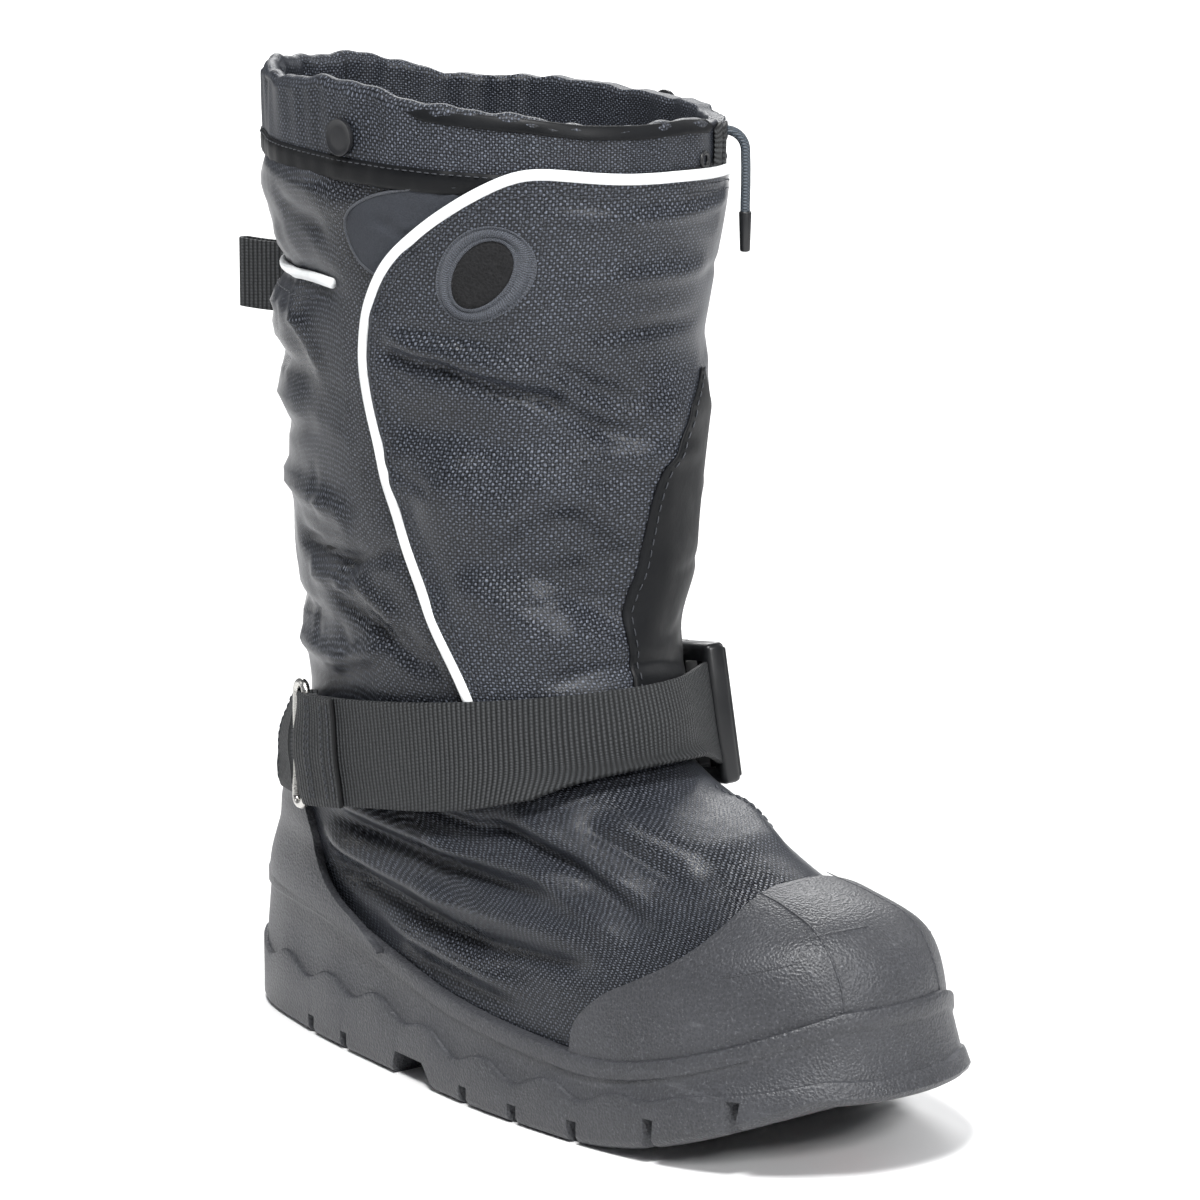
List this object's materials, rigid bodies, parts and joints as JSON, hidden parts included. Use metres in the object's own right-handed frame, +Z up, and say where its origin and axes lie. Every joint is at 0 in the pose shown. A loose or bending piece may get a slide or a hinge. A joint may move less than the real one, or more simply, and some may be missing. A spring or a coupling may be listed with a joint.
{
  "type": "winter overshoe",
  "caption": "Right winter overshoe with a hollow fabric shaft, turned-down snow collar, wrapped front flap, buckled instep strap, rubber toe cap and lugged rubber sole.",
  "frame": {"origin": "on the ground at the middle of the heel, under the ankle", "axes": "+X towards the toe, -Y to the outer side of the foot, +Z up"},
  "size_m": [0.3386, 0.1461, 0.3443],
  "materials": {
    "sole_rubber": "grained dark grey rubber with a faint sheen",
    "shaft_cloth": "coated ballistic weave, half gloss",
    "collar_cloth": "coated ballistic weave, half gloss",
    "flap_cloth": "coated ballistic weave, half gloss",
    "lining": "matt felt",
    "reflective_piping": "white reflective piping",
    "hook_tape": "smooth grey hook tape",
    "fleece": "short looped pile",
    "webbing": "ribbed woven webbing",
    "buckle_plastic": "moulded, low sheen",
    "ring_steel": "bright drawn wire",
    "cord": "braided cord",
    "grip_rubber": "soft red compound"
  },
  "bodies": {
    "root": {"outsole": "sole_rubber", "grip_plug_1": "grip_rubber", "grip_plug_2": "grip_rubber", "grip_plug_3": "grip_rubber", "grip_plug_4": "grip_rubber", "toe_cap": "sole_rubber", "heel_counter": "sole_rubber", "upper": "shaft_cloth", "insole": "lining", "snow_collar": "collar_cloth", "front_flap": "flap_cloth", "oval_ring": "flap_cloth", "back_piping": "reflective_piping", "hook_patch": "hook_tape", "oval_window": "fleece", "flap_piping": "reflective_piping", "inner_piping": "reflective_piping", "front_strap": "webbing", "rear_strap": "webbing", "buckle_prong_half": "buckle_plastic", "buckle_socket_half": "buckle_plastic", "ring_outer": "ring_steel", "ring_inner": "ring_steel", "ring_tab_outer": "webbing", "ring_tab_inner": "webbing", "snap_cap_outer": "buckle_plastic", "snap_cap_inner": "buckle_plastic", "pull_loop": "webbing", "drawcord": "cord", "cord_tip": "buckle_plastic"}
  },
  "joints": []
}
